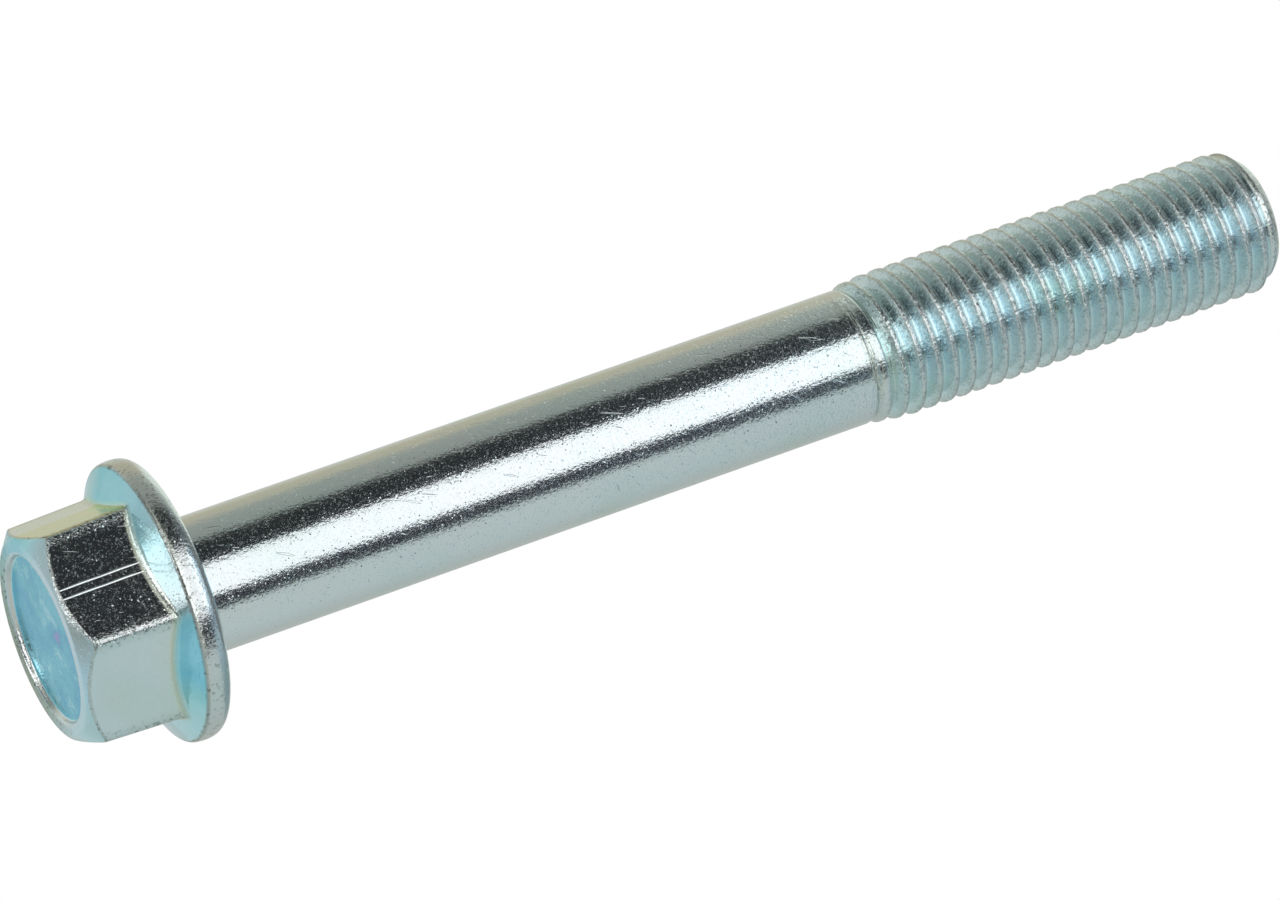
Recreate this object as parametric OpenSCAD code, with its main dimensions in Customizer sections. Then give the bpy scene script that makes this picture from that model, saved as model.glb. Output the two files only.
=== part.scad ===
// Hex flange bolt, cold forged in one piece, with a rolled thread over the last part of its shank.
// It stands on its head: z = 0 is the top of the head, and +Z runs along the shank to the thread's end.
// All sizes are in millimetres and degrees.

/* [Length] */
// Nominal length, from the clamping face of the flange to the end of the thread
bolt_length = 80; // [45:1:160]

/* [Thread] */
// Outer diameter over the thread crests
thread_d = 9.87; // [9.4:0.01:12]
// Distance from one crest to the next
pitch = 1.25; // [1:0.05:1.5]
// Length of the threaded part, from its first trace on the shank to the end face
thread_length = 32.45; // [15:0.05:37]
// Turns over which the groove deepens, and the crest rises from the shank a turn later
runout_turns = 2; // [0.5:0.25:4]
// Where the first trace of thread lies round the shank, counted from the middle of a flat
thread_start_angle = 0; // [0:1:359]
// Diameter of the flat end face
end_face_d = 8; // [6:0.1:8.4]
// Slope of the chamfer at the end, from the axis
end_chamfer_angle = 41; // [30:1:60]

/* [Shank] */
// Diameter of the plain shank, which is the blank that the thread is rolled on
shank_d = 9.04; // [8.6:0.01:9.4]
// Radius of the fillet between the clamping face and the shank
underhead_fillet = 0.6; // [0.3:0.05:1.2]

/* [Hex head] */
// Height of the whole head, flange included
head_height = 9; // [8:0.1:12]
// Width across the flats, where the hex meets the flange
across_flats = 14; // [13:0.1:15]
// Width across the softened corners, at the same height
across_corners = 16.04; // [15.6:0.01:16.16]
// Draft of the flats, which lets the forging leave its die
draft_angle = 1.8; // [0:0.1:3]
// Diameter of the top face, inside the chamfer
top_face_d = 13; // [12.4:0.1:13.4]
// Slope of the chamfer on top of the hex, from the top face
top_chamfer_angle = 37; // [20:1:45]

/* [Recess] */
// Diameter of the shallow dish in the top of the head
recess_d = 11.25; // [9:0.05:11.8]
// Depth of the dish
recess_depth = 0.45; // [0.2:0.05:1]
// Width of the softened lip round the dish
recess_lip = 0.12; // [0.05:0.01:0.2]

/* [Flange] */
// Outer diameter of the flange, where its rim bulges most
flange_d = 18.8; // [17.6:0.1:22]
// Slope of the flange's upper side
flange_slope = 26.5; // [20:0.5:34]
// Height of the rim, from the clamping face to where the slope would reach the outer diameter
rim_height = 1.76; // [1.6:0.02:2.2]
// Height of the widest place of the rim above the clamping face
rim_widest = 1.1; // [0.9:0.05:1.2]
// Radius of the bulge of the rim, seen in section
rim_bulge_radius = 2.5; // [2:0.1:4]
// Radius of the edge between the upper side and the rim
rim_edge_radius = 0.4; // [0.2:0.05:0.5]
// Radius that turns the rim into the clamping face
rim_under_radius = 0.8; // [0.5:0.05:0.9]

/* [Hidden] */
$fn = 96;

// Heights along the bolt
total_length = head_height + bolt_length;
thread_z = total_length - thread_length;

// Rim: an arc turns the slope into the bulge, and another turns the bulge into the clamping face
flange_r = flange_d / 2;
function slope_z(r) = head_height - rim_height - (flange_r - r) * tan(flange_slope);
bulge_center = [flange_r - rim_bulge_radius, head_height - rim_widest];
function on_bulge(inner_center, r) =
    bulge_center + r * (inner_center - bulge_center) / norm(inner_center - bulge_center);
// Both arcs touch the bulge from inside: their centers lie on a smaller circle round the bulge's own center,
// where it meets a line at the arc's radius from the slope, or from the clamping face
slope_along = [cos(flange_slope), sin(flange_slope)];
slope_inward = [-sin(flange_slope), cos(flange_slope)];
edge_from = [flange_r, slope_z(flange_r)] + rim_edge_radius * slope_inward - bulge_center;
edge_along = sqrt(
    pow(rim_bulge_radius - rim_edge_radius, 2) - edge_from * edge_from + pow(edge_from * slope_along, 2)
);
edge_center = bulge_center + edge_from + (edge_along - edge_from * slope_along) * slope_along;
slope_touch = edge_center - rim_edge_radius * slope_inward;
under_rise = rim_widest - rim_under_radius;
under_out = sqrt(pow(rim_bulge_radius - rim_under_radius, 2) - pow(under_rise, 2));
under_center = bulge_center + [under_out, under_rise];

// The hex foot is the height where its corners run into the sloping flange, and it goes on inside
corner_r = across_corners / 2;
hex_foot_z = slope_z(corner_r);
hex_sink = 0.4;
// The softened corners have the draft of the flats, and run straight over the last stretch to the flange
corner_straight = 0.5;
corner_straight_z = hex_foot_z - corner_straight;
function drafted_corner_r(z) = corner_r + (z - corner_straight_z) * tan(draft_angle);
core_r = across_flats / 4;

// Rolled thread: the metric 60 degree form, with a flat crest and root
crest_r = thread_d / 2;
depth_per_pitch = 0.6134;
root_r = crest_r - depth_per_pitch * pitch;
crest_flat = pitch / 8;
root_flat = pitch / 4;
turn_steps = 32;
end_r = end_face_d / 2;
// The facets round the first ring enclose the round shank with a hair to spare
ring_margin = 0.01;
start_r = (shank_d / 2 + ring_margin) / cos(180 / turn_steps);
start_gap = 0.25;
end_gap = 0.1;
// One section across the thread: root, crest, crest, root, as [height, radius]
section = [
    [0, root_r],
    [(pitch - root_flat - crest_flat) / 2, crest_r],
    [(pitch - root_flat + crest_flat) / 2, crest_r],
    [pitch - root_flat, root_r]
];
points_across = len(section);
section_height = section[points_across - 1][0];
steps = floor(turn_steps * (thread_length - start_gap - end_gap - section_height) / pitch);

function step_angle(i) = thread_start_angle + 360 * i / turn_steps;
function at(angle, r, z) = [r * cos(angle), r * sin(angle), z];
function end_cone_r(z) = end_r + (total_length - z) * tan(end_chamfer_angle);
// Share of the full form that a groove or crest has, so many steps after it begins
function runout(i) = sqrt(max(0, min(1, i / (runout_turns * turn_steps))));
// The thread begins with the groove above its first turn. The crest and the groove below follow a turn later
function age(i, j) = j == points_across - 1 ? i : i - turn_steps;
function section_z(i, j) = thread_z + start_gap + section[j][0] + pitch * i / turn_steps;
function section_r(i, j) =
    min(start_r + (section[j][1] - start_r) * runout(age(i, j)), end_cone_r(section_z(i, j)));

module plain_shank_and_flange_outline() {
    inner_z = slope_z(core_r);
    polygon([
        [0, inner_z],
        [core_r, inner_z],
        slope_touch,
        on_bulge(edge_center, rim_bulge_radius),
        on_bulge(under_center, rim_bulge_radius),
        [under_center.x, head_height],
        [0, head_height]
    ]);
    // Rim: its upper edge, its bulge, and the turn into the clamping face
    translate(edge_center) circle(r = rim_edge_radius);
    intersection() {
        translate(bulge_center) circle(r = rim_bulge_radius);
        polygon([
            bulge_center,
            on_bulge(edge_center, 2 * rim_bulge_radius),
            on_bulge(under_center, 2 * rim_bulge_radius)
        ]);
    }
    translate(under_center) circle(r = rim_under_radius);
    // Shank, which reaches into the first ring of the thread, and its fillet under the head
    translate([0, head_height]) square([shank_d / 2, thread_z + start_gap / 2 - head_height]);
    translate([0, head_height])
        difference() {
            square([shank_d / 2 + underhead_fillet, underhead_fillet]);
            translate([shank_d / 2 + underhead_fillet, underhead_fillet]) circle(r = underhead_fillet);
        }
}

// Six flats with draft, limited by the softened corners and by the chamfer on top
module hex() {
    top_r = top_face_d / 2;
    chamfer_z = (drafted_corner_r(0) - top_r) / (1 / tan(top_chamfer_angle) - tan(draft_angle));
    bottom_z = hex_foot_z + hex_sink;
    intersection() {
        drafted_flats(2 * across_corners);
        rotate_extrude()
            polygon([
                [0, 0],
                [top_r, 0],
                [drafted_corner_r(chamfer_z), chamfer_z],
                [corner_r, corner_straight_z],
                [corner_r, bottom_z],
                [0, bottom_z]
            ]);
    }
}

// The space between six tilted planes, each as far from the axis at the hex foot as its flat
module drafted_flats(reach) {
    intersection_for (i = [0 : 5])
        rotate(60 * i)
            translate([across_flats / 2, 0, hex_foot_z])
                rotate([0, draft_angle, 0])
                    translate([-reach, -reach / 2, -reach])
                        cube([reach, reach, 2 * reach]);
}

// Shallow dish with a softened lip
module recess() {
    r = recess_d / 2;
    rotate_extrude()
        polygon([
            [0, -recess_lip],
            [r + 2 * recess_lip, -recess_lip],
            [r, recess_lip],
            [r - recess_lip, recess_depth],
            [0, recess_depth]
        ]);
}

// One band wound helically from the shank to the end, closed by a flat ring of facets at both ends
module thread() {
    bottom = points_across * (steps + 1);
    top = bottom + turn_steps;
    last_turn = steps - turn_steps;
    last_root = points_across - 1;

    function point(i, j) = points_across * i + j;
    function above(i, j) = j < last_root ? point(i, j + 1) : point(i + turn_steps, 0);
    function ring(first, i) = first + i % turn_steps;
    // Four corners, lower left first, seen from outside
    function quad(a, b, c, d) = [[a, d, c], [a, c, b]];
    // Corners up one seam, joined to a single corner beside it
    function fan(apex, seam, flip) = [
        for (k = [0 : len(seam) - 2])
            flip ? [seam[k], seam[k + 1], apex] : [apex, seam[k + 1], seam[k]]
    ];

    points = concat(
        [for (i = [0 : steps], j = [0 : last_root]) at(step_angle(i), section_r(i, j), section_z(i, j))],
        [for (i = [0 : turn_steps - 1]) at(step_angle(i), start_r, thread_z)],
        [for (i = [0 : turn_steps - 1]) at(step_angle(last_turn + i), end_r, total_length)]
    );
    flanks_and_crest = [
        for (i = [0 : steps - 1], j = [0 : last_root - 1])
            each quad(point(i, j), point(i + 1, j), above(i + 1, j), above(i, j))
    ];
    roots = [
        for (i = [0 : last_turn - 1])
            each quad(point(i, last_root), point(i + 1, last_root),
                above(i + 1, last_root), above(i, last_root))
    ];
    lower_skirt = [
        for (i = [0 : turn_steps - 2])
            each quad(ring(bottom, i), ring(bottom, i + 1), point(i + 1, 0), point(i, 0))
    ];
    lower_seam = concat(
        [bottom],
        [for (j = [0 : last_root]) point(0, j)],
        [point(turn_steps, 0)]
    );
    lower_close = concat(
        [[ring(bottom, turn_steps - 1), point(turn_steps - 1, 0), bottom]],
        fan(point(turn_steps - 1, 0), lower_seam, false)
    );
    upper_skirt = [
        for (i = [1 : turn_steps - 1])
            each quad(point(last_turn + i, last_root), point(last_turn + i + 1, last_root),
                ring(top, i + 1), ring(top, i))
    ];
    upper_seam = concat(
        [point(last_turn, last_root)],
        [for (j = [0 : last_root]) point(steps, j)],
        [top]
    );
    upper_close = concat(
        fan(point(last_turn + 1, last_root), upper_seam, true),
        [[top, top + 1, point(last_turn + 1, last_root)]]
    );
    caps = [
        [for (i = [0 : turn_steps - 1]) bottom + i],
        [for (i = [turn_steps - 1 : -1 : 0]) top + i]
    ];
    polyhedron(
        points = points,
        faces = concat(flanks_and_crest, roots, lower_skirt, lower_close, upper_skirt, upper_close, caps)
    );
}

// The whole forging
module bolt() {
    color("#b4c6cf")
        union() {
            difference() {
                union() {
                    rotate_extrude() plain_shank_and_flange_outline();
                    hex();
                }
                recess();
            }
            thread();
        }
}

bolt();
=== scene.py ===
from math import cos, pi, radians, sin, tan

import bmesh
import bpy
import numpy as np
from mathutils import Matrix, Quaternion, Vector


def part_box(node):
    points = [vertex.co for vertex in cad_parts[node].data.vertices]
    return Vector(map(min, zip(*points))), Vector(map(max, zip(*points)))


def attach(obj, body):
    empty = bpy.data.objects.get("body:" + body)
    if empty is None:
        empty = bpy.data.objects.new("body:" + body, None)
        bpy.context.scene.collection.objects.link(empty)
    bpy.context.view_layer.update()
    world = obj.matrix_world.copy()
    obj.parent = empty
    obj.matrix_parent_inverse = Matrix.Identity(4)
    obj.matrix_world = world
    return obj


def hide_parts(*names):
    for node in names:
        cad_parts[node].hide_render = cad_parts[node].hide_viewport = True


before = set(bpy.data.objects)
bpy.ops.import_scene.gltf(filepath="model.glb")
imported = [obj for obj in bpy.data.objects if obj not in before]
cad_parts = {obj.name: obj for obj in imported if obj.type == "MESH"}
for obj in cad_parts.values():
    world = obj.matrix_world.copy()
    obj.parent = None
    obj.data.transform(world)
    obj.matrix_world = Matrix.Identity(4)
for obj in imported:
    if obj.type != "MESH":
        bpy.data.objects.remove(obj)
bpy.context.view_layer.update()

# The bolt, one piece of steel: the head and its flange are cold forged on the end of a wire, and the thread
# is rolled into the other end. It is then barrel plated with zinc and passivated, which leaves a thin film
# of clear blue. It stands on its head, with +Z along the shank and the middle of a flat on +X.
mm = 0.001
bolt_foot, bolt_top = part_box("bolt")
bolt_end = bolt_top.z
flange_r = min(bolt_top.x, bolt_top.y, -bolt_foot.x, -bolt_foot.y)
head_height = 9 * mm
shank_r = 4.52 * mm


def unit(vectors):
    return vectors / np.linalg.norm(vectors, axis=1, keepdims=True)


def on_meridian(r, z):
    """One point for each column, at this distance from the axis and this height"""
    return np.stack(np.broadcast_arrays(r, z, 0 * azimuth)[:2], axis=1)


# Columns of points round the axis, crowded at the six corners and along the two ridges on one flat
columns_round = 168
crowding = 0.78
ridge_places = (-0.30 * mm, 0.35 * mm)
ridge_half_width = 0.06 * mm
ridge_height = 0.028 * mm
half_flats = 7 * mm
even = np.arange(columns_round) / columns_round * 2 * pi
azimuth = even + crowding * np.sin(6 * even) / 6
ridge_steps = np.array([-1.7, -1, -0.5, 0, 0.5, 1, 1.7]) * ridge_half_width
ridge_azimuth = np.arctan(np.add.outer(ridge_places, ridge_steps).ravel() / half_flats)
ridge_clearance = 1.2
near_ridge = np.abs((azimuth + pi) % (2 * pi) - pi) < np.abs(ridge_azimuth).max() * ridge_clearance
azimuth = np.sort(np.concatenate([azimuth[~near_ridge], ridge_azimuth % (2 * pi)]))
columns = len(azimuth)
bearing_of_column = (azimuth + pi) % (2 * pi) - pi

# The flange's rim: a bulge between two tangents, one towards the slope and one towards the clamping face
flange_slope = tan(radians(26.5))
rim_height = 1.76 * mm
rim_widest = 1.1 * mm
bulge_radius = 2.5 * mm
front_tilt, back_tilt = radians(11.9), radians(10.2)
bulge_reach = bulge_radius / cos((front_tilt + back_tilt) / 2)
bulge_corner_r = flange_r - bulge_radius + bulge_reach * cos((back_tilt - front_tilt) / 2)
bulge_corner_z = head_height - rim_widest + bulge_reach * sin((back_tilt - front_tilt) / 2)
slope_at_rim = head_height - rim_height
tangent_at_axis = bulge_corner_r - flange_r - bulge_corner_z * tan(front_tilt)
edge_z = (slope_at_rim + flange_slope * tangent_at_axis) / (1 - flange_slope * tan(front_tilt))
edge_r = bulge_corner_r - (bulge_corner_z - edge_z) * tan(front_tilt)
under_r = bulge_corner_r - (head_height - bulge_corner_z) * tan(back_tilt)

# The hex: six flats with draft, round corners, and the height where the flats meet the flange's slope
draft = tan(radians(1.8))
hex_foot = 6.553 * mm
corner_radius = 0.55 * mm
top_face_r = 6.5 * mm
top_slope = tan(radians(37))
from_flat = (azimuth + pi / 6) % (pi / 3) - pi / 6


def hex_side(z):
    """Distance of the hex's side from the axis, at one height for each column"""
    apothem = half_flats + (z - hex_foot) * draft
    to_arc = (apothem - corner_radius) / cos(pi / 6)
    from_corner = pi / 6 - np.abs(from_flat)
    on_arc = to_arc * np.cos(from_corner) + np.sqrt(
        np.maximum(corner_radius**2 - (to_arc * np.sin(from_corner)) ** 2, 0))
    on_flat = apothem / np.cos(from_flat)
    arc_begins = np.arctan((apothem - corner_radius) * tan(pi / 6) / apothem)
    return np.where(np.abs(from_flat) > arc_begins, on_arc, on_flat)


def meet(line, z, steps=40):
    """Height where the hex's side meets a sloping line, found by stepping towards it"""
    for _ in range(steps):
        z = line(hex_side(z))
    return z


chamfer_z = meet(lambda r: (r - top_face_r) * top_slope, 0 * azimuth)
foot_z = meet(lambda r: slope_at_rim - (flange_r - r) * flange_slope, 0 * azimuth + hex_foot)

# The line from the middle of the dish in the head to the thread: corner, radius there, rows to the next
recess_r = 5.62 * mm
recess_depth = 0.45 * mm
thread_length = 32.45 * mm
thread_z = bolt_end - thread_length
head_line = (
    (on_meridian(0, recess_depth), 0, 14),
    (on_meridian(recess_r - 0.12 * mm, recess_depth), 0.22 * mm, 1),
    (on_meridian(recess_r + 0.06 * mm, 0), 0.32 * mm, 2),
    (on_meridian(top_face_r, 0), 0.5 * mm, 3),
    (on_meridian(hex_side(chamfer_z), chamfer_z), 0.32 * mm, 16),
    (on_meridian(hex_side(foot_z), foot_z), 0.7 * mm, 3),
    (on_meridian(edge_r, edge_z), 0.39 * mm, 1),
    (on_meridian(bulge_corner_r, bulge_corner_z), bulge_radius, 1),
    (on_meridian(under_r, head_height), 0.78 * mm, 3),
    (on_meridian(shank_r, head_height), 0.6 * mm, 6),
    (on_meridian(shank_r, thread_z), 0, 0),
)
arc_steps = 7
row_margin = 0.05 * mm


def rows_along(line):
    """Rows of points along the line, with an arc at each corner, and each row's place counted in corners"""
    points, places = [line[0][0]], [0.0]
    for i in range(1, len(line)):
        corner, radius, _ = line[i]
        come = unit(corner - line[i - 1][0])
        reach = 0
        if i + 1 < len(line):
            go = unit(line[i + 1][0] - corner)
            swing = np.arccos(np.clip((come * go).sum(1), -1, 1))[:, None]
            inward = unit(go - come * (come * go).sum(1, keepdims=True))
            reach = radius * np.tan(swing / 2)
        start = corner - come * reach
        straight = np.linalg.norm(start - points[-1], axis=1).min()
        stretch = line[i - 1][2]
        if straight > 3 * row_margin:
            first, last = points[-1] + come * row_margin, start - come * row_margin
            for k in range(stretch + 1):
                points.append(first + (last - first) * k / max(stretch, 1))
                places.append(i - 0.5)
        if i + 1 == len(line):
            points.append(corner)
            places.append(i)
            break
        for k in range(0 if straight > row_margin else 1, arc_steps + 1):
            turn = swing * k / arc_steps
            points.append(start + radius * (come * np.sin(turn) + inward * (1 - np.cos(turn))))
            places.append(i - 0.5 + (k + 0.5) / (arc_steps + 1))
    return np.array(points), np.array(places)


head_rows, head_places = rows_along(head_line)

# The ridges: two fine seams along the flat on +X, left by the die, each a little wavy
ridge_wave = 0.012 * mm
ridge_wave_length = 2.6 * mm
fade_at_top, fade_at_foot = 0.3 * mm, 0.9 * mm
side_rows = ((head_places > 4) & (head_places < 5))[:, None]
rows_z = head_rows[:, :, 1]
across = half_flats * np.tan(bearing_of_column)
facing = np.abs(bearing_of_column) < pi / 6
lift = np.zeros(columns)
for place in ridge_places:
    lift += np.where(facing, np.maximum(1 - ((across - place) / ridge_half_width) ** 2, 0), 0)
fade = np.clip((rows_z - chamfer_z) / fade_at_top, 0, 1) * np.clip((foot_z - rows_z) / fade_at_foot, 0, 1)
ridge_lift = side_rows * fade * lift
x = head_rows[:, :, 0] * np.cos(azimuth) + ridge_lift * ridge_height
y = head_rows[:, :, 0] * np.sin(azimuth)
y = y + ridge_lift * ridge_wave * np.sin(rows_z / ridge_wave_length * 2 * pi)
head_points = np.stack([x, y, rows_z], axis=2)


def net(name, points, attributes):
    """A mesh of rows of points that each go once round the axis, with values for its attributes"""
    rows, around = points.shape[:2]
    corners = [(0, 0), (0, 1), (1, 1), (1, 0)]
    faces = [
        [(row + down) * around + (column + along) % around for down, along in corners]
        for row in range(rows - 1)
        for column in range(around)
    ]
    mesh = bpy.data.meshes.new(name)
    mesh.from_pydata(points.reshape(-1, 3).tolist(), [], faces)
    for attribute, values in attributes.items():
        layer = mesh.attributes.new(attribute, "FLOAT", "POINT")
        layer.data.foreach_set("value", np.broadcast_to(values, (rows, around)).ravel().astype(np.float32))
    return mesh


# Looks along that line, as places counted in corners with a value at each: how coarse the surface is, how
# worn, pitted and darkened, how thick the blue film is, where it pools on some sides only, how yellow it is,
# and where along the dish's lip a painted shade falls on one side
shank_coarse = 0.30
head_looks = {
    "coarse": ((0.9, 0.20), (1.1, 0.15), (2.5, 0.50), (3.5, 0.14), (3.7, 0.60), (4.3, 0.60), (4.5, 0.02),
               (4.7, 0.25), (5.3, 0.25), (5.5, 0.05), (5.8, 0.40), (7.5, 0.30), (8.5, 0.50),
               (9.5, shank_coarse)),
    "wear_and_shade": ((3.6, 0.0), (3.8, 0.2), (4.3, 0.2), (4.5, 0.0), (5.5, 0.0), (5.8, 0.65), (6.1, 0.6), (6.4, 0.14),
             (7.5, 0.12), (8.5, 0.0)),
    "film": ((0.9, 0.74), (1.05, 0.0), (4.7, 0.0), (5.5, 0.25), (6.0, 0.02)),
    "chamfer": ((2.0, 0.0), (2.5, 0.9), (3.2, 1.0), (3.7, 1.0), (4.2, 0.0)),
    "flange": ((4.8, 0.0), (5.3, 1.0), (5.7, 1.0), (6.0, 0.0)),
    "straw": ((4.5, 0.0), (4.8, 0.15), (5.2, 0.15), (5.5, 0.0)),
    "lip": ((1.9, 0.0), (2.2, 0.9), (2.6, 1.0), (3.0, 1.0), (3.4, 0.0)),
}


def along_line(look):
    places, values = zip(*head_looks[look])
    return np.interp(head_places, places, values)[:, None]


# What differs from side to side: the film on the chamfer and the flange's slope, a painted shade on one side
# of the dish's lip, a violet spot in the dish, the worn corners of the hex, and straw colour on one flat and
# its foot
bearing_degrees = np.degrees(bearing_of_column)
on_chamfer = np.interp(
    bearing_degrees,
    (-180, -110, -60, -25, 10, 60, 110, 180),
    (0.10, 0.34, 0.60, 0.06, 0.0, 0.14, 0.14, 0.10))
on_flange = np.interp(
    bearing_degrees,
    (-180, -110, -60, -15, 10, 25, 32, 60, 78, 110, 180),
    (0.00, 0.15, 0.25, 0.00, -0.12, -0.22, 0.18, 0.24, 0.00, -0.05, 0.00))
# A painted shade: one side of the dish's lip, around this bearing, is made darker and straw coloured
lip_shade_bearing = radians(-160)
lip_shade_side = np.clip(np.cos(bearing_of_column - lip_shade_bearing), 0, 1)
violet_r, violet_bearing, violet_spread = 2.1 * mm, radians(24), 0.9 * mm
violet_x, violet_y = violet_r * cos(violet_bearing), violet_r * sin(violet_bearing)
violet = np.exp(-((x - violet_x) ** 2 + (y - violet_y) ** 2) / violet_spread**2)
deep_bearing = radians(20)
deep_side = (x * cos(deep_bearing) + y * sin(deep_bearing)) / recess_r
dish_ends = 0.9
in_dish = np.where(head_places[:, None] < dish_ends, 0.22 * violet + 0.04 * deep_side, 0)
corner_wear = radians(6)
near_corner = side_rows * np.clip(1 - (pi / 6 - np.abs(from_flat)) / corner_wear, 0, 1)
straw_reach = 1.8 * mm
near_foot = np.clip(1 - (foot_z - rows_z) / straw_reach, 0, 1)
straw_flat = np.abs(bearing_of_column + pi / 3) < pi / 6
straw_edge = straw_flat & (bearing_of_column > radians(-60))
pale_flat = np.abs(bearing_of_column - pi / 3) < pi / 6
straw = np.where(straw_flat, 0.15, 0) + np.where(straw_edge, 0.56 + 0.44 * near_foot**2, 0)
straw = straw + np.where(pale_flat, 0.12 * near_foot, 0)
film = along_line("film") + along_line("chamfer") * on_chamfer + along_line("flange") * on_flange
film = film + side_rows * np.where(pale_flat, 0.08, 0) + in_dish
head_mesh = net("head", head_points, {
    "coarse": along_line("coarse") + near_corner * 0.9,
    # Real wear, plus a painted shade on one side of the dish's lip
    "wear_and_shade": along_line("wear_and_shade") + along_line("lip") * lip_shade_side + near_corner * 0.27,
    "film": np.maximum(film, 0),
    "straw": along_line("straw") + along_line("lip") * lip_shade_side * 0.5 + side_rows * straw,
    "trace": 0.0,
})

# The face at the thread's end, a flat sheared from the wire
end_r = 4 * mm
end_radii = np.array([1, 0.98, 0.9, 0.6, 0.3, 0]) * end_r
end_points = np.stack([
    np.outer(end_radii, np.cos(azimuth)),
    np.outer(end_radii, np.sin(azimuth)),
    np.full((len(end_radii), columns), bolt_end),
], axis=2)
end_mesh = net("end", end_points, {"coarse": 0.7, "wear_and_shade": 0.27, "film": 0.0, "straw": 0.0, "trace": 0.0})

# The thread begins as a straight strip, as long as the thread has turns: x counts turns, y goes from one root
# to the next and z is the height of its section there, from 0 at the root to 1 at the crest
pitch = 1.25 * mm
half_section = (
    (0.00, 0.00), (0.02, 0.01), (0.045, 0.06), (0.08, 0.15),
    (0.34, 0.86), (0.38, 0.96), (0.42, 1.00),
)
section = half_section + ((0.50, 0.97),) + tuple((1 - v, h) for v, h in reversed(half_section))
turns = 28
strip_turns = np.add.outer(np.arange(turns) - 2, azimuth / (2 * pi)).ravel()
strip_turns = np.append(strip_turns, turns - 2 + azimuth[0] / (2 * pi))
strip_points = [(turn, v, h) for turn in strip_turns for v, h in section]
wide = len(section)
strip_faces = [
    [i * wide + j, (i + 1) * wide + j, (i + 1) * wide + j + 1, i * wide + j + 1]
    for i in range(len(strip_turns) - 1)
    for j in range(wide - 1)
]
strip_mesh = bpy.data.meshes.new("thread_strip")
strip_mesh.from_pydata(strip_points, [], strip_faces)

# The rolling roughens the crests and leaves the flanks smooth, more so with each of the first turns, and the
# first trace of a groove is rough
run_out_turns = 2.0
rolled = np.sqrt(np.clip((strip_turns - 1) / run_out_turns, 0, 1))
section_across = np.array([v for v, _ in section])
section_heights = np.array([h for _, h in section])
trace_turn, trace_turns = 0.12, 0.25
since_root = np.subtract.outer(strip_turns, section_across < 0.5)
first_trace = np.clip(1 - np.abs(since_root - trace_turn) / trace_turns, 0, 1) * (section_heights < 0.5)
# A painted shade: the first flank, a turn or two in, is made darker and bluer
flank_turn, flank_turns, flank_ends = 1.9, 0.5, 0.42
on_flank_turn = np.clip(1.2 - np.abs(strip_turns - flank_turn) / flank_turns, 0, 1)
first_flank_shade = np.outer(on_flank_turn, section_across < flank_ends)

# For each look: its value on the shank, at three heights of the section, and what the trace and the painted
# shade on the first flank add
look_heights = (0, 0.7, 0.9)
section_looks = {
    "coarse": (shank_coarse, (0.35, 0.20, 1.0), 0.4, 0.0),
    "wear_and_shade": (0.0, (0.0, 0.0, 0.12), 0.15, 0.10),
    "film": (0.0, (0.06, 0.07, 0.03), 0.0, 0.06),
    "straw": (0.0, (0.0, 0.0, 0.04), 0.1, 0.0),
    "trace": (0.0, (0.0, 0.0, 0.0), 1.0, 0.0),
}
for look, (on_shank, by_height, on_trace, shade_on_first_flank) in section_looks.items():
    full = np.interp(section_heights, look_heights, by_height)
    values = on_shank + np.outer(rolled, full - on_shank) + first_trace * on_trace + first_flank_shade * shade_on_first_flank
    layer = strip_mesh.attributes.new(look, "FLOAT", "POINT")
    layer.data.foreach_set("value", values.ravel().astype(np.float32))
strip = bpy.data.objects.new("thread_strip", strip_mesh)
bpy.context.scene.collection.objects.link(strip)


def add(tree, kind, sockets=None, **settings):
    """A node with its settings, and each of these sockets set to a value or linked to another output"""
    made = tree.nodes.new(kind)
    for name, value in settings.items():
        setattr(made, name, value)
    for socket, value in (sockets or {}).items():
        if isinstance(value, bpy.types.NodeSocket):
            tree.links.new(value, made.inputs[socket])
        else:
            made.inputs[socket].default_value = value
    return made


def maths(tree, operation, *values):
    """The result of one sum on numbers or sockets"""
    return add(tree, "ShaderNodeMath", dict(enumerate(values)), operation=operation).outputs[0]


# Winding the strip: each turn climbs by one pitch, the groove sinks into the shank over the first turns, the
# crest rises from it a turn later, and the chamfer at the end takes off what stands proud of its cone
thread_sizes = {
    "Pitch": pitch,
    "First root": thread_z + 0.25 * mm - 0.125 * pitch,
    "Shank radius": shank_r,
    "Root radius": 4.168 * mm,
    "Crest radius": 4.935 * mm,
    "Run-out turns": run_out_turns,
    "Early groove": 0.08,
    "Start height": thread_z,
    "End height": bolt_end,
    "End radius": end_r,
    "End slope": tan(radians(41)),
    "Crest roughness": 0.12 * mm,
}
winding = bpy.data.node_groups.new("wind_thread", "GeometryNodeTree")
winding.interface.new_socket("Strip", in_out="INPUT", socket_type="NodeSocketGeometry")
size_sockets = {
    name: winding.interface.new_socket(name, in_out="INPUT", socket_type="NodeSocketFloat")
    for name in thread_sizes
}
winding.interface.new_socket("Thread", in_out="OUTPUT", socket_type="NodeSocketGeometry")
given = add(winding, "NodeGroupInput").outputs


def wind(operation, *values):
    return maths(winding, operation, *values)


place = add(winding, "GeometryNodeInputPosition").outputs[0]
turn, step_across, height = add(winding, "ShaderNodeSeparateXYZ", {0: place}).outputs
angle = wind("MULTIPLY", turn, 2 * pi)
climb = wind("MULTIPLY_ADD", wind("ADD", turn, step_across), given["Pitch"], given["First root"])
level_z = wind("MINIMUM", wind("MAXIMUM", climb, given["Start height"]), given["End height"])


def grown(turns_since):
    """Share of the full form that is reached so many turns after the beginning"""
    share = add(winding, "ShaderNodeClamp", {0: wind("DIVIDE", turns_since, given["Run-out turns"])})
    return wind("SQRT", share.outputs[0])


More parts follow.
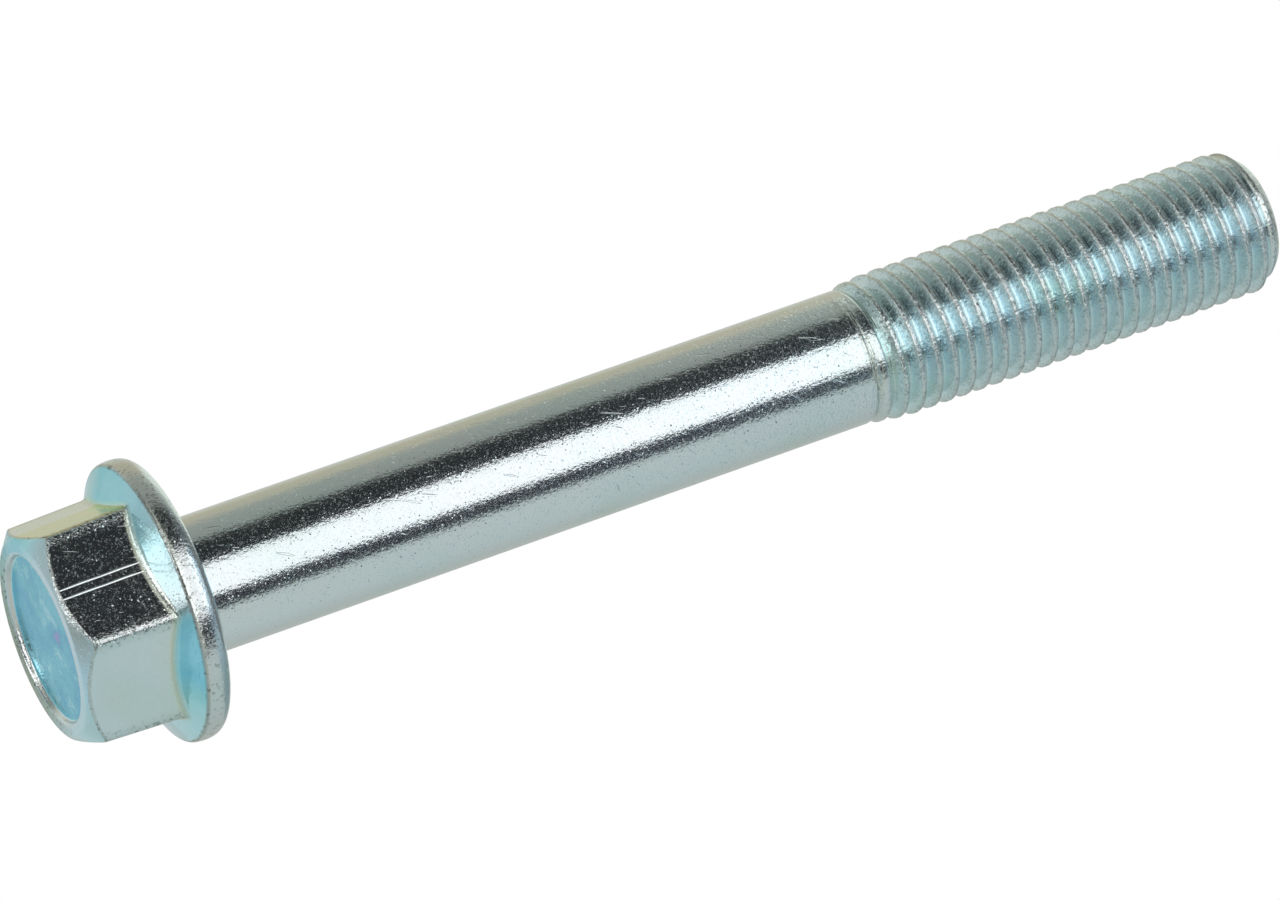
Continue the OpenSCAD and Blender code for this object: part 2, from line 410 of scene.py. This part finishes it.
crest_share = grown(wind("SUBTRACT", turn, 1.0))
groove_turn = wind("SUBTRACT", wind("ADD", turn, given["Early groove"]), wind("LESS_THAN", step_across, 0.5))
groove_share = grown(groove_turn)
crest_rise = wind("SUBTRACT", given["Crest radius"], given["Shank radius"])
groove_sink = wind("SUBTRACT", given["Shank radius"], given["Root radius"])
shank_level = wind("DIVIDE", groove_sink, wind("ADD", groove_sink, crest_rise))
over = wind("MAXIMUM", wind("SUBTRACT", height, shank_level), 0.0)
under = wind("MAXIMUM", wind("SUBTRACT", shank_level, height), 0.0)
over = wind("DIVIDE", over, wind("SUBTRACT", 1.0, shank_level))
under = wind("DIVIDE", under, shank_level)
rise = wind("MULTIPLY", wind("MULTIPLY", over, crest_rise), crest_share)
sink = wind("MULTIPLY", wind("MULTIPLY", under, groove_sink), groove_share)
smooth_r = wind("SUBTRACT", wind("ADD", given["Shank radius"], rise), sink)
cos_angle, sin_angle = wind("COSINE", angle), wind("SINE", angle)


def wound(r):
    """The point at this distance from the axis"""
    return add(winding, "ShaderNodeCombineXYZ", {
        0: wind("MULTIPLY", r, cos_angle),
        1: wind("MULTIPLY", r, sin_angle),
        2: level_z,
    }).outputs[0]


crest_noise = add(winding, "ShaderNodeTexNoise", {
    "Vector": wound(smooth_r), "Scale": 2600.0, "Detail": 2.0, "Roughness": 0.6,
})
noise_top = 0.62
unevenness = wind("SUBTRACT", crest_noise.outputs[0], noise_top)
on_crest = wind("MULTIPLY", wind("POWER", over, 4.0), crest_share)
rough_r = wind("MULTIPLY_ADD", wind("MULTIPLY", unevenness, on_crest), given["Crest roughness"], smooth_r)
to_end = wind("SUBTRACT", given["End height"], level_z)
cone_r = wind("MULTIPLY_ADD", to_end, given["End slope"], given["End radius"])
set_place = add(winding, "GeometryNodeSetPosition", {
    "Geometry": given["Strip"], "Position": wound(wind("MINIMUM", rough_r, cone_r)),
})
weld = 0.001 * mm
welded = add(winding, "GeometryNodeMergeByDistance", {"Geometry": set_place.outputs[0], "Distance": weld})
realized = add(winding, "GeometryNodeRealizeInstances", {"Geometry": welded.outputs[0]})
zinc = bpy.data.materials.new("zinc_plating")
coated = add(winding, "GeometryNodeSetMaterial", {"Geometry": realized.outputs[0], "Material": zinc})
add(winding, "NodeGroupOutput", {0: coated.outputs[0]})
winder = strip.modifiers.new("wind_thread", "NODES")
winder.node_group = winding
for name, size in thread_sizes.items():
    winder[size_sockets[name].identifier] = size
evaluated = strip.evaluated_get(bpy.context.evaluated_depsgraph_get())
thread_mesh = bpy.data.meshes.new_from_object(evaluated)
strip.modifiers.remove(winder)
bpy.data.objects.remove(strip)

# Head, thread and end face become one closed skin
skin = bmesh.new()
for part in (head_mesh, thread_mesh, end_mesh):
    skin.from_mesh(part)
bmesh.ops.remove_doubles(skin, verts=skin.verts, dist=weld)
bmesh.ops.dissolve_degenerate(skin, edges=skin.edges, dist=weld / 10)
bmesh.ops.recalc_face_normals(skin, faces=skin.faces)
for face in skin.faces:
    face.smooth = True
bolt_mesh = bpy.data.meshes.new("bolt_skin")
skin.to_mesh(bolt_mesh)
skin.free()
bolt = bpy.data.objects.new("bolt_skin", bolt_mesh)
bpy.context.scene.collection.objects.link(bolt)
bolt_mesh.materials.clear()
bolt_mesh.materials.append(zinc)

# Zinc plating: bright metal under a thin clear film that tints it blue, thickest in the dish, and straw
# coloured in places. Its grain, specks, drawn lines and scratches are in the bump, with heights in
# millimetres, and it is duller where it is coarse
zinc.use_nodes = True
coat = zinc.node_tree
metal = coat.nodes["Principled BSDF"]
spot = add(coat, "ShaderNodeTexCoord").outputs["Object"]


def attribute(name):
    return add(coat, "ShaderNodeAttribute", attribute_name=name).outputs["Fac"]


def noise(scale, detail, roughness, vector=spot):
    return add(coat, "ShaderNodeTexNoise", {
        "Vector": vector, "Scale": scale, "Detail": detail, "Roughness": roughness,
    }).outputs[0]


def stretched(scale, turn=(0.0, 0.0, 0.0)):
    """Coordinates with their own scale along each axis, turned first"""
    turned_spot = add(coat, "ShaderNodeMapping", {"Vector": spot, "Rotation": turn}).outputs[0]
    return add(coat, "ShaderNodeMapping", {"Vector": turned_spot, "Scale": scale}).outputs[0]


def span(value, low, high, to_low=0.0, to_high=1.0):
    """The value, with the range from low to high stretched over another, and held at its ends"""
    return add(coat, "ShaderNodeMapRange", {
        "Value": value, "From Min": low, "From Max": high, "To Min": to_low, "To Max": to_high,
    }).outputs[0]


def ramp(value, stops):
    """The colour at this value, between stops of a place and a colour"""
    made = add(coat, "ShaderNodeValToRGB", {0: value})
    elements = made.color_ramp.elements
    while len(elements) < len(stops):
        elements.new(0.5)
    for element, (at, tone) in zip(elements, stops):
        element.position = at
        element.color = (*tone, 1)
    return made.outputs[0]


def times(first, second):
    """Two colours multiplied"""
    mixed = add(coat, "ShaderNodeMix", {"Factor": 1.0}, data_type="RGBA", blend_type="MULTIPLY")
    inputs = [socket for socket in mixed.inputs if socket.type == "RGBA"]
    coat.links.new(first, inputs[0])
    coat.links.new(second, inputs[1])
    return [socket for socket in mixed.outputs if socket.type == "RGBA"][0]


coarse, wear_and_shade, film, yellow, trace = [
    attribute(look) for look in ("coarse", "wear_and_shade", "film", "straw", "trace")
]
veil = noise(420.0, 3.0, 0.55)
cloud = noise(150.0, 2.0, 0.5)
bare = span(noise(640.0, 4.0, 0.65), 0.57, 0.66)
bare = maths(coat, "MULTIPLY", bare, span(film, 0.4, 0.7, 0.0, 0.4))
film_depth = maths(coat, "MULTIPLY", film, span(veil, 0.34, 0.66, 1.12, 0.85))
film_depth = maths(coat, "MULTIPLY", film_depth, maths(coat, "SUBTRACT", 1.0, bare))
film_depth = maths(coat, "ADD", film_depth, span(cloud, 0.42, 0.66, 0.0, 0.05))
film_tint = ramp(film_depth, (
    (0.0, (0.80, 0.91, 0.94)),
    (0.35, (0.48, 0.86, 0.93)),
    (0.70, (0.19, 0.65, 0.78)),
    (0.88, (0.12, 0.50, 0.74)),
    (1.0, (0.36, 0.40, 0.74)),
))
yellow_patch = maths(coat, "ADD", yellow, span(cloud, 0.56, 0.72, 0.0, 0.12))
straw_tint = ramp(yellow_patch, (
    (0.0, (1.0, 1.0, 1.0)),
    (0.50, (0.97, 0.92, 0.70)),
    (0.75, (0.95, 0.89, 0.58)),
    (1.0, (0.68, 0.90, 0.52)),
))
pits = span(noise(2600.0, 3.0, 0.7), 0.56, 0.66)
pits = maths(coat, "MULTIPLY", pits, span(wear_and_shade, 0.0, 0.3))
pit_tint = ramp(pits, ((0.0, (1.0, 1.0, 1.0)), (1.0, (0.30, 0.29, 0.27))))
# Darker where worn, and also where shade is painted: on one side of the dish's lip and on the thread's first
# flank
wear_and_shade_tint = ramp(wear_and_shade, ((0.0, (1.0, 1.0, 1.0)), (1.0, (0.50, 0.48, 0.43))))
tint = times(times(film_tint, straw_tint), times(pit_tint, wear_and_shade_tint))
coat.links.new(tint, metal.inputs["Base Color"])
metal.inputs["Metallic"].default_value = 1.0

# Grains of zinc: each cell of the plating lies a little tilted, and few of them much
cell = add(coat, "ShaderNodeTexVoronoi", {"Vector": spot, "Scale": 12000.0, "Randomness": 1.0}).outputs
lean = add(coat, "ShaderNodeVectorMath", {0: cell["Color"], 1: (0.5, 0.5, 0.5)}, operation="SUBTRACT")
from_middle = add(coat, "ShaderNodeVectorMath", {0: spot, 1: cell["Position"]}, operation="SUBTRACT")
tilted = add(coat, "ShaderNodeVectorMath", {0: lean.outputs[0], 1: from_middle.outputs[0]},
             operation="DOT_PRODUCT").outputs["Value"]
chance = add(coat, "ShaderNodeTexWhiteNoise", {"Vector": cell["Position"]}).outputs["Value"]
chance = maths(coat, "ADD", chance, span(coarse, 0.4, 1.0, 0.0, 0.25))
much = maths(coat, "MULTIPLY_ADD", coarse, 1.2, 0.5)
much = maths(coat, "MULTIPLY", much, span(coarse, 0.6, 1.0, 1.0, 0.4))
much = maths(coat, "MULTIPLY", span(chance, 0.88, 1.08, 0.03, 0.9), much)
facets = maths(coat, "MULTIPLY", maths(coat, "DIVIDE", tilted, mm), much)
grain = noise(4800.0, 2.0, 0.6)
lines = noise(1.0, 2.0, 0.6, stretched((6000.0, 6000.0, 220.0)))
scratches = span(noise(1.0, 0.0, 0.5, stretched((600.0, 5500.0, 600.0), (0.5, 0.3, 0.4))), 0.77, 0.83)
height_sum = maths(coat, "MULTIPLY_ADD", grain, span(coarse, 0.0, 1.0, 0.0, 0.06), facets)
height_sum = maths(coat, "MULTIPLY_ADD", lines, 0.002, height_sum)
height_sum = maths(coat, "MULTIPLY_ADD", scratches, span(coarse, 0.0, 0.3, -0.003, -0.012), height_sum)
height_sum = maths(coat, "MULTIPLY_ADD", pits, -0.02, height_sum)
scores = noise(1.0, 2.0, 0.6, stretched((450.0, 450.0, 5500.0)))
height_sum = maths(coat, "MULTIPLY_ADD", maths(coat, "MULTIPLY", scores, trace), 0.22, height_sum)
relief = add(coat, "ShaderNodeBump", {"Strength": 1.0, "Distance": mm, "Height": height_sum})
coat.links.new(relief.outputs[0], metal.inputs["Normal"])
dull = maths(coat, "ADD", span(coarse, 0.0, 1.0, 0.06, 0.15), span(veil, 0.3, 0.7, 0.0, 0.04))
coat.links.new(dull, metal.inputs["Roughness"])
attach(bolt, "root")
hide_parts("bolt")

# The floor, a pale table that the head stands on. The photograph looks up past its edge, so its underside
# lets the view through, and it doesn't shade or colour the metal
floor_half = 3.0
floor_gap = 0.05 * mm
floor_mesh = bpy.data.meshes.new("floor")
floor_mesh.from_pydata(
    [(-floor_half, -floor_half, 0), (floor_half, -floor_half, 0), (floor_half, floor_half, 0),
     (-floor_half, floor_half, 0)], [], [(0, 1, 2, 3)])
floor = bpy.data.objects.new("floor", floor_mesh)
floor.location.z = -floor_gap
bpy.context.scene.collection.objects.link(floor)
table_paint = bpy.data.materials.new("table_paint")
table_paint.use_nodes = True
paint = table_paint.node_tree
paint.nodes.clear()
matt = add(paint, "ShaderNodeBsdfDiffuse", {"Color": (0.85, 0.85, 0.85, 1)})
clear = add(paint, "ShaderNodeBsdfTransparent")
underside = add(paint, "ShaderNodeNewGeometry").outputs["Backfacing"]
seen = add(paint, "ShaderNodeMixShader", {0: underside, 1: matt.outputs[0], 2: clear.outputs[0]})
add(paint, "ShaderNodeOutputMaterial", {"Surface": seen.outputs[0]})
floor_mesh.materials.append(table_paint)
floor.visible_glossy = False
floor.visible_diffuse = False
floor.visible_shadow = False

# The cards, sheets that stand round the bolt and lie under it and glow with their own tone as emitted light,
# which the plating mirrors: dark ones beside the softbox, then grey, cream and pale blue. Only the metal sees
# them
camera_turn = 19.5
card_distance = 0.75
ring_stops = (
    (-180, (0.60, 0.64, 0.67)),
    (-158, (0.62, 0.60, 0.50)),
    (-140, (0.52, 0.44, 0.33)),
    (-120, (0.50, 0.44, 0.33)),
    (-110, (0.34, 0.335, 0.30)),
    (-77, (0.30, 0.30, 0.27)),
    (-68, (0.025, 0.025, 0.025)),
    (22, (0.03, 0.03, 0.035)),
    (45, (0.035, 0.035, 0.04)),
    (52, (0.57, 0.575, 0.55)),
    (100, (0.53, 0.55, 0.535)),
    (135, (0.47, 0.48, 0.45)),
    (165, (0.50, 0.50, 0.46)),
    (180, (0.60, 0.64, 0.67)),
)
high_stops = (
    (-180, (0.80, 0.82, 0.74)),
    (-120, (0.80, 0.81, 0.72)),
    (-76, (0.27, 0.27, 0.26)),
    (-68, (0.12, 0.125, 0.125)),
    (-30, (0.12, 0.13, 0.14)),
    (-26, (0.55, 0.66, 0.74)),
    (22, (0.55, 0.66, 0.74)),
    (27, (0.14, 0.17, 0.21)),
    (42, (0.18, 0.22, 0.26)),
    (50, (0.42, 0.49, 0.53)),
    (100, (0.26, 0.32, 0.34)),
    (150, (0.28, 0.33, 0.33)),
    (180, (0.80, 0.82, 0.74)),
)
mid_stops = (
    (-180, (0.56, 0.61, 0.63)),
    (-160, (0.60, 0.64, 0.63)),
    (-125, (0.64, 0.64, 0.58)),
    (-108, (0.52, 0.50, 0.44)),
    (-98, (0.26, 0.26, 0.24)),
    (-78, (0.26, 0.26, 0.24)),
    (-68, (0.50, 0.47, 0.40)),
    (45, (0.50, 0.47, 0.41)),
    (90, (0.52, 0.50, 0.45)),
    (126, (0.38, 0.42, 0.41)),
    (159, (0.55, 0.62, 0.61)),
    (180, (0.56, 0.61, 0.63)),
)
low_stops = (
    (-180, (0.60, 0.64, 0.67)),
    (-140, (0.54, 0.57, 0.58)),
    (-110, (0.25, 0.26, 0.26)),
    (-68, (0.06, 0.06, 0.06)),
    (10, (0.06, 0.06, 0.06)),
    (40, (0.50, 0.51, 0.49)),
    (120, (0.46, 0.52, 0.52)),
    (159, (0.55, 0.62, 0.61)),
    (180, (0.60, 0.64, 0.67)),
)
table_stops = (
    (-180, (0.50, 0.57, 0.60)),
    (-90, (0.38, 0.41, 0.40)),
    (-72, (0.36, 0.38, 0.37)),
    (-62, (0.10, 0.10, 0.10)),
    (5, (0.10, 0.10, 0.10)),
    (25, (0.34, 0.36, 0.35)),
    (90, (0.44, 0.50, 0.52)),
    (144, (0.50, 0.60, 0.66)),
    (180, (0.50, 0.57, 0.60)),
)
bearings = np.union1d(np.arange(-180, 180, 8), [
    bearing for bearing, _ in high_stops + ring_stops + mid_stops + low_stops + table_stops])
bearings = bearings[bearings < 180]


def tones(stops):
    """The colour of a ring of cards at each bearing, between stops of a bearing and a colour"""
    places = [bearing for bearing, _ in stops]
    return np.stack([np.interp(bearings, places, [tone[i] for _, tone in stops]) for i in range(3)], axis=1)


high_tones, ring_tones, mid_tones, low_tones, table_tones = [
    tones(stops) for stops in (high_stops, ring_stops, mid_stops, low_stops, table_stops)
]
under_tones = np.broadcast_to((0.29, 0.30, 0.28), ring_tones.shape)
ceiling_tones = np.broadcast_to((0.18, 0.18, 0.18), ring_tones.shape)
card_rows = (
    (0.0, 2.0, ceiling_tones), (0.96, 2.0, ceiling_tones),
    (1.0, 1.9, high_tones), (1.0, 0.60, high_tones),
    (1.0, 0.48, ring_tones), (1.0, -0.08, ring_tones),
    (1.0, -0.12, mid_tones), (1.0, -0.60, mid_tones),
    (1.0, -0.64, low_tones), (1.0, -0.97, low_tones),
    (0.95, -1.0, table_tones), (0.5, -1.0, table_tones),
    (0.0, -1.0, under_tones),
)
card_bearings = np.radians(bearings + camera_turn)
card_points = np.stack([
    np.stack([
        out * card_distance * np.cos(card_bearings),
        out * card_distance * np.sin(card_bearings),
        np.full(len(bearings), up * card_distance),
    ], axis=1)
    for out, up, _ in card_rows
])
card_tones = np.concatenate([row_tones for _, _, row_tones in card_rows])
cards_mesh = net("cards", card_points, {})
tone_layer = cards_mesh.attributes.new("tone", "FLOAT_COLOR", "POINT")
tone_layer.data.foreach_set("color", np.insert(card_tones, 3, 1, axis=1).ravel().astype(np.float32))
cards = bpy.data.objects.new("cards", cards_mesh)
bpy.context.scene.collection.objects.link(cards)
card_glow = bpy.data.materials.new("card_glow")
card_glow.use_nodes = True
card_glow.cycles.emission_sampling = "NONE"
board = card_glow.node_tree
board.nodes.clear()
tone = add(board, "ShaderNodeAttribute", attribute_name="tone").outputs["Color"]
glow = add(board, "ShaderNodeEmission", {"Color": tone, "Strength": 1.0})
add(board, "ShaderNodeOutputMaterial", {"Surface": glow.outputs[0]})
cards_mesh.materials.append(card_glow)
cards.visible_camera = False
cards.visible_diffuse = False
cards.visible_shadow = False
cards.visible_transmission = False

# The light: a tall softbox beside the camera that runs along the bolt as a white band, two smaller ones below
# it that light the foot of the hex and the flange's slope, and a white room behind the cards
lamp_tone = (1.0, 0.92, 0.90)
room_strength = 0.8

# For each: bearing from the camera, distance, height, height it faces, half width, half height, radiance
softboxes = (
    ("softbox", -2.5, 0.250, 0.012, 0.012, 0.119, 0.190, 1.15),
    ("hex_softbox", -50, 0.354, -0.354, 0, 0.070, 0.153, 1.1),
    ("flange_softbox", -50, 0.031, -0.068, 0.006, 0.014, 0.020, 1.15),
)
for name, bearing, away, up, faces_up, half_wide, half_tall, radiance in softboxes:
    lamp = bpy.data.lights.new(name, "AREA")
    lamp.shape = "RECTANGLE"
    lamp.size = 2 * half_wide
    lamp.size_y = 2 * half_tall
    lamp.color = lamp_tone
    lamp.energy = radiance * pi * lamp.size * lamp.size_y
    lamp_object = bpy.data.objects.new(name, lamp)
    bpy.context.scene.collection.objects.link(lamp_object)
    lamp_turn = radians(camera_turn + bearing)
    lamp_object.location = (away * cos(lamp_turn), away * sin(lamp_turn), up)
    outward = lamp_object.location - Vector((0, 0, faces_up))
    lamp_object.rotation_euler = outward.to_track_quat("Z", "Y").to_euler()
    lamp_object.visible_camera = False
world = bpy.data.worlds.new("studio")
bpy.context.scene.world = world
world.use_nodes = True
studio = world.node_tree
studio.nodes.clear()
ray = add(studio, "ShaderNodeLightPath").outputs
sees_white = maths(studio, "ADD", ray["Is Camera Ray"], ray["Is Glossy Ray"])
sees_white = maths(studio, "ADD", sees_white, ray["Is Transmission Ray"])
behind = add(studio, "ShaderNodeBackground", {"Color": (1, 1, 1, 1), "Strength": 1.0})
around = add(studio, "ShaderNodeBackground", {"Color": (1, 1, 1, 1), "Strength": room_strength})
sky = add(studio, "ShaderNodeMixShader", {0: sees_white, 1: around.outputs[0], 2: behind.outputs[0]})
add(studio, "ShaderNodeOutputWorld", {"Surface": sky.outputs[0]})

# The camera, where the photograph was taken from: below the head, rolled so that the bolt climbs to the right
camera_elevation = -20.47
camera_roll = 70.61
camera_distance = 474.3 * mm
aim = Vector((-0.40, 1.13, 42.25)) * mm
camera = bpy.data.cameras.new("camera")
camera.sensor_width = 36
camera.lens = 204.9
camera_object = bpy.data.objects.new("camera", camera)
bpy.context.scene.collection.objects.link(camera_object)
back = Vector((
    cos(radians(camera_elevation)) * cos(radians(camera_turn)),
    cos(radians(camera_elevation)) * sin(radians(camera_turn)),
    sin(radians(camera_elevation)),
))
camera_object.location = aim + back * camera_distance
camera_object.rotation_mode = "QUATERNION"
camera_object.rotation_quaternion = back.to_track_quat("Z", "Y") @ Quaternion((0, 0, 1), radians(camera_roll))
bpy.context.scene.camera = camera_object
bpy.context.scene.view_settings.view_transform = "Standard"
